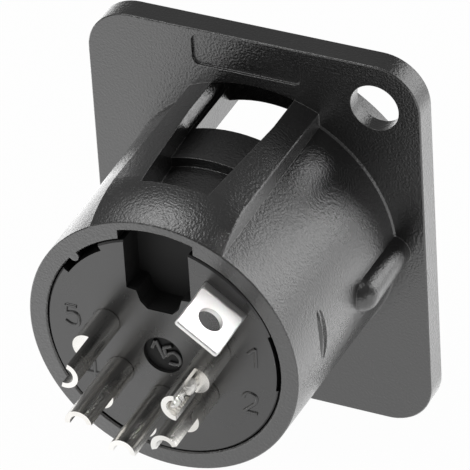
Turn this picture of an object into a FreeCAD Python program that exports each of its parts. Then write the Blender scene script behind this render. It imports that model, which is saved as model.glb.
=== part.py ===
# Panel mount XLR receptacle, five-contact male, 26 x 31 mm flange, all sizes in mm
# The connector's axis is Y: the mouth faces -Y, the solder side faces +Y, the 31 mm side stands along Z
# Origin: on the axis, in the rear face of the flange, the face that lies against a rear-mounted panel
import FreeCAD, Part
import math
import os

os.makedirs("parts", exist_ok=True)
V = FreeCAD.Vector

# Flange
flange_w = 26.0
flange_h = 31.0
flange_t = 2.0
corner_r = 3.5
front_edge = 0.06
rear_edge = 0.08

# Screw holes, on one diagonal and set in from two sides of the flange
screw_inset = 3.5
screw_r = 1.86
screw_land = 1.25

# Round collar around the mouth, in front of the flange
collar_inset = 1.0
collar_h = 2.0
collar_edge = 0.15

# Barrel behind the flange, set in from its long sides, with casting draft
barrel_inset = 2.31
barrel_draft = 0.25
barrel_len = 16.55
root_edge = 0.12
rim_edge = 0.08

# Wall between barrel and insert bore, and the step down to the mating cavity
barrel_wall = 1.39
seat_step = 0.95
seat_y = 11.2
mouth_lead = 0.5

# Latch block on top of the barrel, its end falling in an arc to just above the barrel's rim
block_w = 10.26
block_rise = 0.96
block_end_rise = 0.04
block_flat_y = 12.4
block_edge_r = 0.2
block_fall_share = 0.28

# Window in the latch block
window_front_w = 6.5
window_rear_w = 5.2
window_len = 13.0
sill_depth = 1.6
groove_depth = 0.75
groove_y0 = 7.5
groove_y1 = 11.0

# Latch hole and the keyway that leads to it
keyway_w = 5.8
keyway_depth = 0.82
latch_hole_y = 3.6

# Notch in the rear bore, beside the slot of the insert
rear_notch_w = 5.8
rear_notch_depth = 0.8

# Rounded key on the side of the barrel
side_key_r = 1.3
side_key_sink = 0.17
side_key_drop = 0.1
side_key_len = 5.6

# Recess in the rear of the flange for a casting mark, left bare
mark_w = 8.45
mark_h = 2.55
mark_x = 0.42
mark_drop = 1.73
mark_depth = 0.2
mark_corner = 0.55

# Insert
insert_gap = 0.09
insert_edge = 0.12
slot_w = 5.0
slot_z = 4.6
slot_foot_w = 3.0
slot_foot_z = 3.1
slot_foot_corner = 0.55
slot_depth = 2.2
key_notch_a0 = 34.0
key_notch_a1 = 59.5
key_notch_depth = 0.51
rib_angle = 44.0
rib_w = 0.75
rib_h = 0.43
number_recess_r = 1.52
number_recess_z = -0.68
number_recess_depth = 0.35
relief_depth = 0.16

# Contacts: pin in front, solder cup behind, on a ring that is a share of the insert's radius
# By number: angle on the ring, way the solder cup opens, how far the contact stands out
contact_ring_share = 0.4933
contacts = {
    1: (169.0, 178.0, 0.2),
    2: (-136.2, -112.0, 0.0),
    3: (-87.5, -90.0, 0.0),
    4: (-38.8, -98.0, 0.0),
    5: (16.0, 16.0, -0.05),
}
contact_r = 1.05
pin_r = 1.0
pin_recess = 1.7
cup_ledge = 3.45
cup_end = 6.87
cup_bore_r = 0.66
cup_cut_offset = 0.0
hole_rim_r = 1.13
hole_rim_depth = 0.05

# Ground lug
lug_angle = 125.0
lug_inset = 1.28
lug_shift = 1.11
lug_w = 3.73
lug_t = 0.4
lug_out = 4.9
lug_in = 3.6
lug_hole_r = 0.95
lug_hole_out = 2.65
lug_corner_r = 0.25
lug_edge = 0.08
lug_fit = 0.03

# Radii that follow from the flange, each from the one outside it
collar_r = flange_w / 2 - collar_inset
barrel_r = flange_w / 2 - barrel_inset
barrel_end_r = barrel_r - barrel_draft
bore_r = barrel_end_r - barrel_wall
cavity_r = bore_r - seat_step
block_r = barrel_r + block_rise
block_end_r = barrel_end_r + block_end_rise
sill_r = block_r - sill_depth
groove_r = sill_r - groove_depth
keyway_r = cavity_r + keyway_depth
rear_notch_r = bore_r + rear_notch_depth
insert_r = bore_r - insert_gap
key_notch_r = insert_r - key_notch_depth
rib_r = bore_r - rib_h
contact_ring_r = contact_ring_share * insert_r
lug_plane_r = insert_r - lug_inset

# Planes along the axis, and two reaches for cutting tools
front_y = -(flange_t + collar_h)
back_y = barrel_len
slot_y = back_y - slot_depth
mid_z = cavity_r / 2
far = flange_h


def cylinder(r, y0, y1, x=0.0, z=0.0):
    """Cylinder along Y from y0 to y1."""
    return Part.makeCylinder(r, y1 - y0, V(x, y0, z), V(0, 1, 0))


def cone(r0, r1, y0, y1, x=0.0, z=0.0):
    """Cone frustum along Y, radius r0 at y0 and r1 at y1."""
    return Part.makeCone(r0, r1, y1 - y0, V(x, y0, z), V(0, 1, 0))


def box(x0, x1, y0, y1, z0, z1):
    """Box between two corners."""
    return Part.makeBox(x1 - x0, y1 - y0, z1 - z0, V(x0, y0, z0))


def ring(r0, r1, y0, y1):
    """Tube along Y between two radii."""
    return cylinder(r1, y0, y1).cut(cylinder(r0, y0 - 1.0, y1 + 1.0))


def rounded_plate(w, h, r, y0, y1, x=0.0, z=0.0):
    """Upright plate with rounded corners."""
    plate = box(x - w / 2, x + w / 2, y0, y1, z - h / 2, z + h / 2)
    corners = [e for e in plate.Edges if abs(e.Vertexes[0].Y - e.Vertexes[-1].Y) > 1e-6]
    return plate.makeFillet(r, corners)


def prism(points, y0, y1):
    """Polygon of (x, z) points drawn out along Y."""
    wire = Part.makePolygon([V(x, y0, z) for x, z in points + points[:1]])
    return Part.Face(wire).extrude(V(0, y1 - y0, 0))


def edges_at(shape, y, test=None):
    """Edges that lie wholly in one plane across the axis."""
    found = []
    for e in shape.Edges:
        if all(abs(v.Y - y) < 1e-5 for v in e.Vertexes) and abs(e.CenterOfMass.y - y) < 1e-5:
            if test is None or test(e):
                found.append(e)
    return found


def polar(r, degrees):
    """Point across the axis at a radius and an angle from +X."""
    a = math.radians(degrees)
    return r * math.cos(a), r * math.sin(a)


def sector(r, y0, y1, a0, a1):
    """Wedge of a cylinder between two angles."""
    steps = 6
    points = [(0.0, 0.0)]
    for i in range(steps + 1):
        points.append(polar(2.0 * r, a0 + (a1 - a0) * i / steps))
    return prism(points, y0, y1).common(cylinder(r, y0, y1))


# Flange plate with its collar
flange = rounded_plate(flange_w, flange_h, corner_r, -flange_t, 0.0)
flange = flange.makeChamfer(front_edge, edges_at(flange, -flange_t))
flange = flange.makeChamfer(rear_edge, edges_at(flange, 0.0))
collar = cylinder(collar_r, front_y, -flange_t / 2)
collar = collar.makeChamfer(collar_edge, edges_at(collar, front_y))

# Barrel with casting draft and a bevelled root
barrel = cone(barrel_r, barrel_end_r, 0.0, back_y)
barrel = barrel.makeChamfer(rim_edge, edges_at(barrel, back_y))
body = flange.fuse([collar, barrel]).removeSplitter()
root = edges_at(body, 0.0, lambda e: abs(e.BoundBox.XLength - 2 * barrel_r) < 0.01)
body = body.makeChamfer(root_edge, root)

# Latch block: a raised band of the turned outline between two side planes
start = V(block_r, block_flat_y, 0)
middle = V(block_r - block_fall_share * (block_r - block_end_r), (block_flat_y + back_y) / 2, 0)
finish = V(block_end_r, back_y - rim_edge, 0)
rim = V(block_end_r - rim_edge, back_y, 0)
block_y = -flange_t / 4
outline = [
    Part.makeLine(V(0, block_y, 0), V(block_r, block_y, 0)),
    Part.makeLine(V(block_r, block_y, 0), start),
    Part.Arc(start, middle, finish).toShape(),
    Part.makeLine(finish, rim),
    Part.makeLine(rim, V(0, back_y, 0)),
    Part.makeLine(V(0, back_y, 0), V(0, block_y, 0)),
]
band = Part.Face(Part.Wire(outline)).revolve(V(0, 0, 0), V(0, 1, 0), 360)
block = band.common(box(-block_w / 2, block_w / 2, block_y, back_y, mid_z, far))
long_edges = [e for e in block.Edges
              if e.CenterOfMass.z > cavity_r and abs(abs(e.CenterOfMass.x) - block_w / 2) < 1e-3
              and e.BoundBox.YLength > block_flat_y / 2]
block = block.makeFillet(block_edge_r, long_edges)

# Rounded side key with a ball end
key_x = side_key_sink - barrel_r
side_key = cylinder(side_key_r, block_y, side_key_len, key_x, -side_key_drop)
side_key = side_key.fuse(Part.makeSphere(side_key_r, V(key_x, side_key_len, -side_key_drop)))

body = body.fuse([block, side_key]).removeSplitter()

# Mating cavity, lead-in at the mouth, insert bore and its rim
body = body.cut(cylinder(cavity_r, front_y - 1.0, seat_y + 0.5))
body = body.cut(cone(cavity_r + mouth_lead, cavity_r, front_y, front_y + mouth_lead))
body = body.cut(cylinder(bore_r, seat_y, back_y + 1.0))
body = body.cut(cone(bore_r, bore_r + insert_edge, back_y - insert_edge, back_y))

# Keyway under the block, latch hole and rear notch
keyway = box(-keyway_w / 2, keyway_w / 2, front_y - 1.0, groove_y0, mid_z, far)
body = body.cut(keyway.common(cylinder(keyway_r, front_y - 1.0, groove_y0)))
body = body.cut(box(-keyway_w / 2, keyway_w / 2, -flange_t, latch_hole_y, mid_z, sill_r + 0.2))
rear_notch = box(-rear_notch_w / 2, rear_notch_w / 2, slot_y, back_y + 1.0, mid_z, far)
body = body.cut(rear_notch.common(cylinder(rear_notch_r, slot_y, back_y + 1.0)))

# Tapering window above the hole, with a sill at its front and a lower groove behind it
half_front = window_front_w / 2
half_rear = window_rear_w / 2
plan = [V(-half_front, -flange_t, 0), V(half_front, -flange_t, 0), V(half_front, latch_hole_y, 0),
        V(half_rear, window_len, 0), V(-half_rear, window_len, 0), V(-half_front, latch_hole_y, 0)]
window = Part.Face(Part.makePolygon(plan + plan[:1])).extrude(V(0, 0, far))
body = body.cut(window.common(ring(sill_r, block_r, -flange_t, 0.2)))
body = body.cut(window.common(ring(sill_r, far, 0.0, window_len)))
body = body.cut(window.common(ring(groove_r, far, groove_y0, groove_y1)))

# Screw holes, countersunk from the front
for side in (-1, 1):
    hx = side * (flange_w / 2 - screw_inset)
    hz = -side * (flange_h / 2 - screw_inset)
    sink = flange_t - screw_land
    body = body.cut(cylinder(screw_r, -flange_t - 1.0, 1.0, hx, hz))
    body = body.cut(cone(screw_r + sink + 0.5, screw_r, -flange_t - 0.5, -screw_land, hx, hz))

# Bare recess for a casting mark
mark_z = flange_h / 2 - mark_drop
body = body.cut(rounded_plate(mark_w, mark_h, mark_corner, -mark_depth, 1.0, mark_x, mark_z))

# Locating rib inside the rear bore, kept clear of the notch in the insert
rib_x, rib_z = polar(rib_r + rib_w / 2, rib_angle)
rib = cylinder(rib_w / 2, seat_y, back_y, rib_x, rib_z)
foot = box(rib_r + rib_w / 2, bore_r + 0.4, seat_y, back_y, -rib_w / 2, rib_w / 2)
foot.rotate(V(0, 0, 0), V(0, 1, 0), -rib_angle)
shell = body.fuse([rib, foot]).removeSplitter()
shell.exportStep("parts/shell.step")

# Insert: a moulded disc seated against the step of the bore
insert = cylinder(insert_r, seat_y, back_y)
insert = insert.makeChamfer(insert_edge, edges_at(insert, back_y))

# Blind keyhole slot, open to the top
foot_r = slot_foot_w / 2
keyhole = prism([(-slot_w / 2, far), (-slot_w / 2, slot_z), (-foot_r - 0.25, slot_z - 0.1),
                 (-foot_r, slot_foot_z + slot_foot_corner), (-foot_r + slot_foot_corner, slot_foot_z),
                 (foot_r - slot_foot_corner, slot_foot_z), (foot_r, slot_foot_z + slot_foot_corner),
                 (foot_r + 0.25, slot_z - 0.1), (slot_w / 2, slot_z), (slot_w / 2, far)],
                slot_y, back_y + 1.0)
insert = insert.cut(keyhole)

# Notch for the locating rib and shallow reliefs in the rim
notch = sector(far, seat_y - 1.0, back_y + 1.0, key_notch_a0, key_notch_a1)
insert = insert.cut(notch.cut(cylinder(key_notch_r, seat_y - 1.0, back_y + 1.0)))
for a0, a1, depth in ((160.0, 190.0, relief_depth), (-68.0, -50.0, 1.6 * relief_depth)):
    relief = sector(far, back_y - 1.2, back_y + 1.0, a0, a1)
    insert = insert.cut(relief.cut(cylinder(insert_r - depth, back_y - 1.2, back_y + 1.0)))

# Round recess in the middle
insert = insert.cut(cylinder(number_recess_r, back_y - number_recess_depth, back_y + 1.0, 0.0, number_recess_z))

# Contact holes, each with a shallow rim around the cup
for ring_angle, opening, reach in contacts.values():
    cx, cz = polar(contact_ring_r, ring_angle)
    insert = insert.cut(cylinder(contact_r, seat_y - 1.0, back_y + 1.0, cx, cz))
    insert = insert.cut(cylinder(hole_rim_r, back_y - hole_rim_depth, back_y + 1.0, cx, cz))


def lug_place(shape):
    """Turn a lug drawn square to X and move it to its place in the insert."""
    nx, nz = polar(1.0, lug_angle)
    shape.rotate(V(0, 0, 0), V(0, 1, 0), 90.0 - lug_angle)
    shape.translate(V(nx * lug_plane_r - nz * lug_shift, 0, nz * lug_plane_r + nx * lug_shift))
    return shape


# Slot for the ground lug
lug_slot = box(-lug_w / 2 - lug_fit, lug_w / 2 + lug_fit, back_y - lug_in, back_y + 1.0, -lug_t - lug_fit, lug_fit)
insert = insert.cut(lug_place(lug_slot))
insert.exportStep("parts/insert.step")

# Contacts: turned pin and solder cup in one piece, the cup opened outward
pin_tip_y = front_y + pin_recess
for number, (ring_angle, opening, reach) in contacts.items():
    cx, cz = polar(contact_ring_r, ring_angle)
    ledge_y = back_y + cup_ledge + reach
    end_y = back_y + cup_end + reach
    stem = cylinder(contact_r, seat_y, end_y, cx, cz)
    pin = cylinder(pin_r, pin_tip_y + pin_r * 0.6, seat_y, cx, cz)
    tip = cone(pin_r * 0.45, pin_r, pin_tip_y, pin_tip_y + pin_r * 0.6, cx, cz)
    contact = stem.fuse([pin, tip]).removeSplitter()
    contact = contact.cut(cylinder(cup_bore_r, ledge_y, end_y + 1.0, cx, cz))
    cut = box(cup_cut_offset, 3.0, ledge_y, end_y + 1.0, -3.0, 3.0)
    cut.rotate(V(0, 0, 0), V(0, 1, 0), -opening)
    cut.translate(V(cx, 0, cz))
    contact = contact.cut(cut)
    contact.exportStep("parts/contact_%d.step" % number)

# Ground lug: a flat plated tab with a wire hole
lug = box(-lug_w / 2, lug_w / 2, back_y - lug_in, back_y + lug_out, -lug_t, 0.0)
end_corners = [e for e in lug.Edges
               if e.BoundBox.ZLength > lug_t * 0.9 and e.BoundBox.XLength < 1e-6 and e.BoundBox.YLength < 1e-6
               and e.CenterOfMass.y > back_y]
lug = lug.makeFillet(lug_corner_r, end_corners)
end_rim = [e for e in lug.Edges
           if e.CenterOfMass.y > back_y + lug_out - lug_corner_r and e.BoundBox.ZLength < 1e-6]
lug = lug.makeChamfer(lug_edge, end_rim)
hole = Part.makeCylinder(lug_hole_r, 3 * lug_t, V(0, back_y + lug_hole_out, -2 * lug_t), V(0, 0, 1))
lug = lug_place(lug.cut(hole))
lug.exportStep("parts/ground_lug.step")
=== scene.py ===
import bpy
import bmesh
import math
from mathutils import Matrix, Vector


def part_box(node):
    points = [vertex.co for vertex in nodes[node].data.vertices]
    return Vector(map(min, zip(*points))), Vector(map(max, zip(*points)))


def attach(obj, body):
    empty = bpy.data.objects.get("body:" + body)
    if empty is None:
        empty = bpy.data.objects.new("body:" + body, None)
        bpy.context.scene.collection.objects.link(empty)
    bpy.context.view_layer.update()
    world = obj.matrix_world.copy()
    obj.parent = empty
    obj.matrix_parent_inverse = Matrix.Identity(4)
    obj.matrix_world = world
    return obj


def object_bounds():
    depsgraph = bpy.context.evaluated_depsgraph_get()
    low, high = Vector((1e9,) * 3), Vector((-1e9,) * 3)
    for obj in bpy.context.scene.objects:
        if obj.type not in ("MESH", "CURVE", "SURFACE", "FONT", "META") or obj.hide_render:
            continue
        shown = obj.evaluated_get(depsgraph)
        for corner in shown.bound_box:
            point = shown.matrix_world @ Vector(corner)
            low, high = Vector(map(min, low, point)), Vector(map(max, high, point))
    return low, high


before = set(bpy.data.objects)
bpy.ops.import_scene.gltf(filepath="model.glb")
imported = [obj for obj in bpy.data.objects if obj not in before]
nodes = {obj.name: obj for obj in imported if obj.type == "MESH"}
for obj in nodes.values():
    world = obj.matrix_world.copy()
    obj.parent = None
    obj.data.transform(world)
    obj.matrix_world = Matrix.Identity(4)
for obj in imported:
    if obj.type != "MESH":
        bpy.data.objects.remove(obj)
cad_low, cad_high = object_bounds()


# Shell: flange, barrel, latch block and side key in one zinc die casting, coated black.
# The coat is thin and glossy over the cast skin, so it shows the skin's fine orange peel,
# and it carries a small leaf-shaped scar where the casting was gated.

def new_material(name):
    """A material with its Principled BSDF, and the node tree it stands in."""
    material = bpy.data.materials.new(name)
    material.use_nodes = True
    tree = material.node_tree
    return material, tree, tree.nodes["Principled BSDF"]


def link(tree, source, target):
    tree.links.new(source, target)


def make_skin_group():
    """Fine relief of a cast or moulded skin, with slow patches of dust and handling over it."""
    group = bpy.data.node_groups.new("skin_relief", "ShaderNodeTree")
    for name, value in (("Grain Scale", 3000.0), ("Patch Scale", 120.0)):
        socket = group.interface.new_socket(name=name, in_out="INPUT", socket_type="NodeSocketFloat")
        socket.default_value = value
    for name in ("Relief", "Patches", "Specks"):
        group.interface.new_socket(name=name, in_out="OUTPUT", socket_type="NodeSocketFloat")
    nodes_in = group.nodes.new("NodeGroupInput")
    nodes_out = group.nodes.new("NodeGroupOutput")
    place = group.nodes.new("ShaderNodeTexCoord")
    grain = group.nodes.new("ShaderNodeTexNoise")
    grain.inputs["Detail"].default_value = 3.0
    grain.inputs["Roughness"].default_value = 0.5
    patches = group.nodes.new("ShaderNodeTexNoise")
    patches.inputs["Detail"].default_value = 3.0
    cells = group.nodes.new("ShaderNodeTexVoronoi")
    cells.inputs["Randomness"].default_value = 1.0
    cell_scale = group.nodes.new("ShaderNodeMath")
    cell_scale.operation = "MULTIPLY"
    cell_scale.inputs[1].default_value = 7.0
    specks = group.nodes.new("ShaderNodeMapRange")
    specks.inputs["From Min"].default_value = 0.07
    specks.inputs["From Max"].default_value = 0.03
    for texture in (grain, patches, cells):
        link(group, place.outputs["Object"], texture.inputs["Vector"])
    link(group, nodes_in.outputs["Grain Scale"], grain.inputs["Scale"])
    link(group, nodes_in.outputs["Patch Scale"], patches.inputs["Scale"])
    link(group, nodes_in.outputs["Patch Scale"], cell_scale.inputs[0])
    link(group, cell_scale.outputs["Value"], cells.inputs["Scale"])
    link(group, cells.outputs["Distance"], specks.inputs["Value"])
    link(group, grain.outputs["Fac"], nodes_out.inputs["Relief"])
    link(group, patches.outputs["Fac"], nodes_out.inputs["Patches"])
    link(group, specks.outputs["Result"], nodes_out.inputs["Specks"])
    return group


skin_group = make_skin_group()


def add_skin(tree, grain_scale, patch_scale):
    """The skin relief with its own sizes of grain and patches."""
    skin = tree.nodes.new("ShaderNodeGroup")
    skin.node_tree = skin_group
    skin.inputs["Grain Scale"].default_value = grain_scale
    skin.inputs["Patch Scale"].default_value = patch_scale
    return skin


def ramp_value(tree, source, low, high, from_low=0.3, from_high=0.7):
    """Turns a texture's usual spread into a range of another value."""
    spread = tree.nodes.new("ShaderNodeMapRange")
    spread.inputs["From Min"].default_value = from_low
    spread.inputs["From Max"].default_value = from_high
    spread.inputs["To Min"].default_value = low
    spread.inputs["To Max"].default_value = high
    link(tree, source, spread.inputs["Value"])
    return spread.outputs["Result"]


def mix_colours(tree, share, first, second):
    """A colour that runs from the first to the second."""
    mix = tree.nodes.new("ShaderNodeMix")
    mix.data_type = "RGBA"
    mix.inputs["A"].default_value = (*first, 1.0)
    mix.inputs["B"].default_value = (*second, 1.0)
    link(tree, share, mix.inputs["Factor"])
    return mix.outputs["Result"]


def mix_over(tree, share, under, over):
    """Lays one colour over another that is already a result."""
    mix = tree.nodes.new("ShaderNodeMix")
    mix.data_type = "RGBA"
    mix.inputs["B"].default_value = (*over, 1.0)
    link(tree, under, mix.inputs["A"])
    link(tree, share, mix.inputs["Factor"])
    return mix.outputs["Result"]


def add_bump(tree, height, distance, under=None):
    """The normal of a relief of that depth, on top of the relief under it."""
    bump = tree.nodes.new("ShaderNodeBump")
    bump.inputs["Strength"].default_value = 1.0
    bump.inputs["Distance"].default_value = distance
    link(tree, height, bump.inputs["Height"])
    if under is not None:
        link(tree, under, bump.inputs["Normal"])
    return bump.outputs["Normal"]


def leaf_scar(tree, start, end, half_width):
    """A height that rises along a short leaf-shaped mark between two points."""
    place = tree.nodes.new("ShaderNodeTexCoord")
    middle = (Vector(start) + Vector(end)) / 2
    along = Vector(end) - Vector(start)
    turn = tree.nodes.new("ShaderNodeMapping")
    turn.vector_type = "TEXTURE"
    turn.inputs["Location"].default_value = middle
    turn.inputs["Rotation"].default_value = along.to_track_quat("X", "Z").to_euler()
    turn.inputs["Scale"].default_value = (along.length / 2, half_width, half_width)
    ball = tree.nodes.new("ShaderNodeTexGradient")
    ball.gradient_type = "SPHERICAL"
    link(tree, place.outputs["Object"], turn.inputs["Vector"])
    link(tree, turn.outputs["Vector"], ball.inputs["Vector"])
    return ball.outputs["Fac"]


def worn_and_glinting_edges(tree, rounded, breaks):
    """1 along sharp edges, where a rounded normal leans off the face's own, broken up by a noise; it marks
    coating worn off the edges and also paints the bright highlight lines along them.
    """
    sharp, smooth = 0.86, 0.985
    form = tree.nodes.new("ShaderNodeNewGeometry")
    lean = tree.nodes.new("ShaderNodeVectorMath")
    lean.operation = "DOT_PRODUCT"
    link(tree, rounded, lean.inputs[0])
    link(tree, form.outputs["True Normal"], lean.inputs[1])
    wear_and_glint = tree.nodes.new("ShaderNodeMath")
    wear_and_glint.operation = "MULTIPLY"
    link(tree, ramp_value(tree, lean.outputs["Value"], 1.0, 0.0, sharp, smooth), wear_and_glint.inputs[0])
    link(tree, ramp_value(tree, breaks, 0.0, 1.0, 0.35, 0.62), wear_and_glint.inputs[1])
    return wear_and_glint.outputs["Value"]


def make_coated_casting():
    edge_radius = 0.00008
    peel_depth = 0.000044
    scar_depth = 0.0006
    scar_half_width = 0.00060
    scar_top = (-0.01025, 0.0121, 0.0030)
    scar_foot = (-0.01055, 0.0124, -0.0012)
    material, tree, shader = new_material("black_coated_casting")
    skin = add_skin(tree, 5600.0, 130.0)
    shade = ramp_value(tree, skin.outputs["Patches"], 0.0, 1.0)
    colour = mix_colours(tree, shade, (0.013, 0.0128, 0.013), (0.019, 0.0186, 0.0186))
    colour = mix_over(tree, skin.outputs["Specks"], colour, (0.05, 0.049, 0.047))
    edge = tree.nodes.new("ShaderNodeBevel")
    edge.samples = 6
    edge.inputs["Radius"].default_value = edge_radius
    wear_and_glint = worn_and_glinting_edges(tree, edge.outputs["Normal"], skin.outputs["Relief"])
    # Sharp edges turn light grey: partly coating worn off the edges, partly a painted highlight along them.
    link(tree, mix_over(tree, wear_and_glint, colour, (0.22, 0.215, 0.21)), shader.inputs["Base Color"])
    link(tree, ramp_value(tree, skin.outputs["Patches"], 0.24, 0.32), shader.inputs["Roughness"])
    peel = add_bump(tree, skin.outputs["Relief"], peel_depth, under=edge.outputs["Normal"])
    scar = leaf_scar(tree, scar_top, scar_foot, scar_half_width)
    bumped = add_bump(tree, scar, scar_depth, under=peel)
    link(tree, bumped, shader.inputs["Normal"])
    link(tree, bumped, shader.inputs["Coat Normal"])
    shader.inputs["IOR"].default_value = 1.9
    shader.inputs["Coat Weight"].default_value = 1.0
    shader.inputs["Coat Roughness"].default_value = 0.12
    return material


def finish_node(name, material):
    """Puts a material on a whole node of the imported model."""
    for slot in nodes[name].material_slots:
        slot.material = material


finish_node("shell", make_coated_casting())


# Insert: a disc moulded in black thermoplastic and pressed into the bore from behind.
# Its rear face is a satin tool finish, smooth enough to mirror what stands on it.

insert_low, insert_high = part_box("insert")


def make_moulded_plastic():
    """Satin on the face, and darker and rougher in the recess and the slot, which lie below it; the darker
    colour there is painted shade.
    """
    recess_floor = insert_high.y - 0.0003
    recess_lip = insert_high.y - 0.00012
    recess_roughening = 0.35
    grain_depth = 0.000006
    material, tree, shader = new_material("black_moulded_plastic")
    skin = add_skin(tree, 5200.0, 260.0)
    shade = ramp_value(tree, skin.outputs["Patches"], 0.0, 1.0)
    colour = mix_colours(tree, shade, (0.014, 0.0138, 0.014), (0.021, 0.0206, 0.0202))
    colour = mix_over(tree, skin.outputs["Specks"], colour, (0.07, 0.068, 0.064))
    place = tree.nodes.new("ShaderNodeTexCoord")
    axes = tree.nodes.new("ShaderNodeSeparateXYZ")
    link(tree, place.outputs["Object"], axes.inputs["Vector"])
    recess = ramp_value(tree, axes.outputs["Y"], 1.0, 0.0, recess_floor, recess_lip)
    # Painted shade: the colour goes darker where the face sinks into the recess and the slot.
    link(tree, mix_over(tree, recess, colour, (0.014, 0.014, 0.014)), shader.inputs["Base Color"])
    satin = ramp_value(tree, skin.outputs["Patches"], 0.25, 0.33)
    rough = tree.nodes.new("ShaderNodeMath")
    rough.operation = "MULTIPLY_ADD"
    rough.inputs[1].default_value = recess_roughening
    link(tree, recess, rough.inputs[0])
    link(tree, satin, rough.inputs[2])
    link(tree, rough.outputs["Value"], shader.inputs["Roughness"])
    link(tree, ramp_value(tree, recess, 0.5, 0.2, 0.0, 1.0), shader.inputs["Specular IOR Level"])
    link(tree, add_bump(tree, skin.outputs["Relief"], grain_depth), shader.inputs["Normal"])
    shader.inputs["IOR"].default_value = 1.95
    return material


moulded_plastic = make_moulded_plastic()
finish_node("insert", moulded_plastic)


# Contact numbers: round raised beads moulded with the insert, one number beside each solder cup.
# They are read from the solder side, upright with the latch block on top. The round recess in
# the middle carries a plain cavity number of the same kind, turned as the tool pin was set.

BEAD = 0.00030
NUMBER_HEIGHT = 0.0016
CAVITY_BEAD = 0.00036
CAVITY_HEIGHT = 0.0015
CAVITY_DEPTH = 0.00022
CAVITY_TURN = 24.0

# Strokes of each digit as control points, across and up, in shares of its height
DIGIT_STROKES = {
    "1": [[(-0.30, 0.66), (0.06, 1.0)], [(0.06, 1.0), (0.06, 0.0)]],
    "2": [[(-0.30, 0.74), (-0.26, 0.98), (0.02, 1.06), (0.34, 0.96), (0.34, 0.62), (0.08, 0.36),
           (-0.30, 0.0)], [(-0.30, 0.0), (0.34, 0.0)]],
    "3": [[(-0.30, 0.88), (-0.06, 1.06), (0.32, 1.0), (0.30, 0.58), (-0.04, 0.54)],
          [(-0.04, 0.54), (0.36, 0.52), (0.38, 0.0), (-0.04, -0.06), (-0.32, 0.14)]],
    "4": [[(0.14, 0.0), (0.14, 1.0)], [(0.14, 1.0), (-0.34, 0.32)], [(-0.34, 0.32), (0.34, 0.32)]],
    "5": [[(0.28, 1.0), (-0.22, 1.0)], [(-0.22, 1.0), (-0.27, 0.54)],
          [(-0.27, 0.54), (0.0, 0.68), (0.36, 0.60), (0.38, 0.02), (0.0, -0.08), (-0.32, 0.14)]],
}


def make_digit(name, digit, x, y, z, height, bead, degrees=0.0):
    """A digit as beads half sunk in the face at y, read from the solder side."""
    drawn = bpy.data.curves.new(name, "CURVE")
    drawn.dimensions = "3D"
    drawn.resolution_u = 5
    drawn.bevel_depth = bead / 2
    drawn.bevel_resolution = 2
    drawn.use_fill_caps = True
    for stroke in DIGIT_STROKES[digit]:
        spline = drawn.splines.new("NURBS")
        spline.points.add(len(stroke) - 1)
        for point, (u, v) in zip(spline.points, stroke):
            point.co = (-u * height, 0.0, (v - 0.5) * height, 1.0)
        spline.order_u = min(3, len(stroke))
        spline.use_endpoint_u = True
    sketch = bpy.data.objects.new(name, drawn)
    mesh = bpy.data.meshes.new_from_object(sketch)
    bpy.data.objects.remove(sketch)
    turned = Matrix.Rotation(math.radians(degrees), 4, "Y")
    mesh.transform(Matrix.Translation((x, y - bead * 0.1, z)) @ turned)
    mesh.materials.clear()
    mesh.materials.append(moulded_plastic)
    piece = bpy.data.objects.new(name, mesh)
    bpy.context.scene.collection.objects.link(piece)
    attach(piece, "root")


for digit, x, z in (("1", -0.00716, 0.00098), ("2", -0.00658, -0.00312), ("3", 0.00022, -0.00745),
                    ("4", 0.00575, -0.00340), ("5", 0.00706, 0.00103)):
    make_digit("number_" + digit, digit, x, insert_high.y, z, NUMBER_HEIGHT, BEAD)
for name, digit, x, z in (("cavity_left", "1", 0.00042, -0.00042), ("cavity_right", "5", -0.00056, -0.00074)):
    make_digit(name, digit, x, insert_high.y - CAVITY_DEPTH, z, CAVITY_HEIGHT, CAVITY_BEAD, CAVITY_TURN)


# Contacts: five pins turned from brass bar and silver plated, each with its solder cup behind.
# Turning leaves fine rings across the length, and the plating is bright with faint tarnish.

def make_plating(name, bright, dull, low, high, ring_scale, ring_depth):
    """Plate from a low to a high roughness, with tool marks across Y and an uneven tarnish."""
    material, tree, shader = new_material(name)
    skin = add_skin(tree, 2600.0, 330.0)
    place = tree.nodes.new("ShaderNodeTexCoord")
    rings = tree.nodes.new("ShaderNodeTexWave")
    rings.bands_direction = "Y"
    rings.inputs["Scale"].default_value = ring_scale
    rings.inputs["Distortion"].default_value = 1.5
    rings.inputs["Detail"].default_value = 2.0
    link(tree, place.outputs["Object"], rings.inputs["Vector"])
    shade = ramp_value(tree, skin.outputs["Patches"], 0.0, 1.0, 0.42, 0.7)
    link(tree, mix_colours(tree, shade, bright, dull), shader.inputs["Base Color"])
    link(tree, ramp_value(tree, skin.outputs["Patches"], low, high), shader.inputs["Roughness"])
    marks = add_bump(tree, rings.outputs["Fac"], ring_depth)
    link(tree, add_bump(tree, skin.outputs["Relief"], ring_depth, under=marks), shader.inputs["Normal"])
    shader.inputs["Metallic"].default_value = 1.0
    return material


contact_plating = make_plating("bright_silver_plating", (0.93, 0.92, 0.895), (0.82, 0.80, 0.76),
                               0.18, 0.30, 900.0, 0.0000014)
for name in nodes:
    if name.startswith("contact_"):
        finish_node(name, contact_plating)


# Solder: the cup of contact 1 was tinned and keeps a crumpled, bright fill of solder.
# It is thick against the ledge and thins out towards the open end.

def make_solder():
    crumple_depth = 0.00022
    material, tree, shader = new_material("crumpled_solder")
    skin = add_skin(tree, 2400.0, 600.0)
    shade = ramp_value(tree, skin.outputs["Patches"], 0.0, 1.0)
    link(tree, mix_colours(tree, shade, (0.95, 0.94, 0.92), (0.80, 0.78, 0.74)), shader.inputs["Base Color"])
    link(tree, ramp_value(tree, skin.outputs["Patches"], 0.18, 0.36), shader.inputs["Roughness"])
    link(tree, add_bump(tree, skin.outputs["Relief"], crumple_depth), shader.inputs["Normal"])
    shader.inputs["Metallic"].default_value = 1.0
    return material


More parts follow.
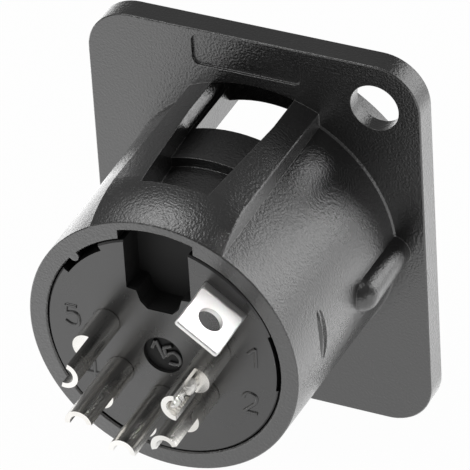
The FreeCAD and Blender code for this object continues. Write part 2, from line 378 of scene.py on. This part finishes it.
def make_solder_fill():
    """Two drops that run into each other, each by its setback from the cup's end, sink, length and width."""
    low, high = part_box("contact_1")
    x, z = (low.x + high.x) / 2, (low.z + high.z) / 2
    ledge_drop = (0.00270, 0.00012, 0.00075, 0.00062)
    trough_drop = (0.00130, 0.00028, 0.00120, 0.00046)
    flatness = 0.8
    bm = bmesh.new()
    for back, sink, length, width in (ledge_drop, trough_drop):
        place = Matrix.Translation((x + sink, high.y - back, z))
        bmesh.ops.create_icosphere(bm, subdivisions=4, radius=1.0,
                                   matrix=place @ Matrix.Diagonal((width * flatness, length, width, 1.0)))
    mesh = bpy.data.meshes.new("solder_1")
    bm.to_mesh(mesh)
    bm.free()
    mesh.shade_smooth()
    mesh.materials.append(make_solder())
    piece = bpy.data.objects.new("solder_1", mesh)
    bpy.context.scene.collection.objects.link(piece)
    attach(piece, "root")


make_solder_fill()


# Ground lug: a tab stamped from tinned brass strip and pushed into a slot of the insert.
# The tin is white and satin, with faint marks of the rolling.

finish_node("ground_lug", make_plating("bright_tin_plating", (0.95, 0.945, 0.935), (0.90, 0.89, 0.87),
                                       0.44, 0.54, 500.0, 0.000001))


# Floor: a pale sweep under the part. It keeps a faint shadow of the part and reads as white.

FLOOR_SIZE = 3.0
WHITE_TO_CAMERA = 0.98
WHITE_TO_MIRRORS = 0.75
floor_z = cad_low.z


def make_floor():
    """A matt sheet that takes light and shadow, mixed with plain white where it is only looked at."""
    mesh = bpy.data.meshes.new("floor")
    bm = bmesh.new()
    bmesh.ops.create_grid(bm, x_segments=1, y_segments=1, size=FLOOR_SIZE / 2)
    bmesh.ops.translate(bm, verts=bm.verts, vec=(0.0, 0.0, floor_z))
    bm.to_mesh(mesh)
    bm.free()
    piece = bpy.data.objects.new("floor", mesh)
    bpy.context.scene.collection.objects.link(piece)
    material, tree, shader = new_material("pale_sweep")
    place = tree.nodes.new("ShaderNodeTexCoord")
    cloud = tree.nodes.new("ShaderNodeTexNoise")
    cloud.inputs["Scale"].default_value = 6.0
    link(tree, place.outputs["Object"], cloud.inputs["Vector"])
    link(tree, mix_colours(tree, cloud.outputs["Fac"], (0.86, 0.86, 0.86), (0.88, 0.88, 0.88)),
         shader.inputs["Base Color"])
    shader.inputs["Roughness"].default_value = 0.7
    glow = tree.nodes.new("ShaderNodeEmission")
    rays = tree.nodes.new("ShaderNodeLightPath")
    mirrored = tree.nodes.new("ShaderNodeMath")
    mirrored.operation = "MULTIPLY"
    mirrored.inputs[1].default_value = WHITE_TO_MIRRORS
    link(tree, rays.outputs["Is Glossy Ray"], mirrored.inputs[0])
    share = tree.nodes.new("ShaderNodeMath")
    share.operation = "MULTIPLY_ADD"
    share.inputs[1].default_value = WHITE_TO_CAMERA
    link(tree, rays.outputs["Is Camera Ray"], share.inputs[0])
    link(tree, mirrored.outputs["Value"], share.inputs[2])
    blend = tree.nodes.new("ShaderNodeMixShader")
    link(tree, share.outputs["Value"], blend.inputs["Fac"])
    link(tree, shader.outputs["BSDF"], blend.inputs[1])
    link(tree, glow.outputs["Emission"], blend.inputs[2])
    link(tree, blend.outputs["Shader"], tree.nodes["Material Output"].inputs["Surface"])
    piece.data.materials.append(material)


make_floor()


# Light: soft boxes behind and above the part, cards on the floor around it, and dim walls.
# The camera side stays dark, so the metal and the black faces keep their contrast. A snoot
# with a narrow beam brightens only the lug.

def light_panel(name, place, toward, width, height, radiance, spread=180.0):
    """An area lamp at a place, by the brightness that a mirror shows of it with its full spread."""
    lamp = bpy.data.lights.new(name, "AREA")
    lamp.shape = "RECTANGLE"
    lamp.size = width
    lamp.size_y = height
    lamp.energy = radiance * math.pi * width * height
    lamp.spread = math.radians(spread)
    panel = bpy.data.objects.new(name, lamp)
    bpy.context.scene.collection.objects.link(panel)
    panel.location = place
    panel.rotation_euler = toward.to_track_quat("-Z", "Y").to_euler()
    panel.visible_camera = False


def soft_box(name, direction, distance, width, height, radiance):
    """A lamp at a distance from the origin in some direction, turned to the origin."""
    place = Vector(direction).normalized() * distance
    light_panel(name, place, -place, width, height, radiance)


def floor_card(name, x, y, width, height, radiance):
    """A bright card that lies on the floor and lights the part from below."""
    lift = 0.0001
    light_panel(name, Vector((x, y, floor_z + lift)), Vector((0.0, 0.0, 1.0)), width, height, radiance)


soft_box("rear_soft_box", (-0.60, -0.725, 0.38), 0.5, 0.34, 0.34, 1.65)
soft_box("rear_low_box", (-0.71, -0.70, 0.02), 0.5, 0.30, 0.12, 0.7)
soft_box("rear_high_box", (-0.33, -0.725, 0.60), 0.5, 0.10, 0.16, 0.2)
soft_box("high_box", (0.26, 0.05, 0.96), 0.5, 0.15, 0.20, 2.2)
soft_box("top_soft_box", (0.45, 0.12, 0.88), 0.6, 0.45, 0.40, 1.2)
soft_box("side_soft_box", (0.62, 0.76, 0.16), 0.6, 0.60, 0.24, 1.1)
soft_box("far_side_box", (-0.92, 0.36, 0.12), 0.6, 0.40, 0.24, 0.9)
lug_low, lug_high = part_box("ground_lug")
lug_x, lug_z = (lug_low.x + lug_high.x) / 2, (lug_low.z + lug_high.z) / 2
lug_plate = Vector((lug_x, lug_high.y - 0.0012, lug_z - 0.0003))
snoot_arm = Vector((-0.50, -0.25, 0.83)).normalized() * 0.05
snoot_width = 0.0055
light_panel("lug_snoot", lug_plate + snoot_arm, -snoot_arm, snoot_width, snoot_width, 0.95, spread=7.0)
floor_card("right_floor_card", -0.042, -0.030, 0.07, 0.06, 0.38)
floor_card("left_floor_card", 0.066, -0.057, 0.09, 0.08, 0.60)
floor_card("near_floor_card", 0.024, 0.032, 0.036, 0.044, 0.26)

WALLS_TO_PART = 0.16
WALLS_TO_CAMERA = 1.0
world = bpy.data.worlds.new("dim_studio")
bpy.context.scene.world = world
world.use_nodes = True
sky = world.node_tree
walls = sky.nodes["Background"]
walls.inputs["Color"].default_value = (1.0, 1.0, 1.0, 1.0)
rays = sky.nodes.new("ShaderNodeLightPath")
level = sky.nodes.new("ShaderNodeMapRange")
level.inputs["To Min"].default_value = WALLS_TO_PART
level.inputs["To Max"].default_value = WALLS_TO_CAMERA
link(sky, rays.outputs["Is Camera Ray"], level.inputs["Value"])
link(sky, level.outputs["Result"], walls.inputs["Strength"])


# Camera: behind, above and to the right of the part, from 0.4 m with a long lens.
# Its place, its three axes and its angle of view were solved from the flange, the hole,
# the rear rim and the silhouette in the photograph.

camera_data = bpy.data.cameras.new("camera")
camera_data.lens = 421.4
camera_data.sensor_width = 36.0
camera_data.clip_start = 0.01
camera_data.clip_end = 10.0
camera = bpy.data.objects.new("camera", camera_data)
bpy.context.scene.collection.objects.link(camera)
camera_place = Vector((-0.145662, 0.290301, 0.230470))
right = Vector((-0.906407, -0.419060, -0.053061))
up = Vector((0.204896, -0.546037, 0.812319))
back = Vector((-0.369383, 0.725419, 0.580795))
turn = Matrix((right, up, back)).transposed()
camera.matrix_world = Matrix.Translation(camera_place) @ turn.to_4x4()
bpy.context.scene.camera = camera
bpy.context.scene.view_settings.view_transform = "Standard"
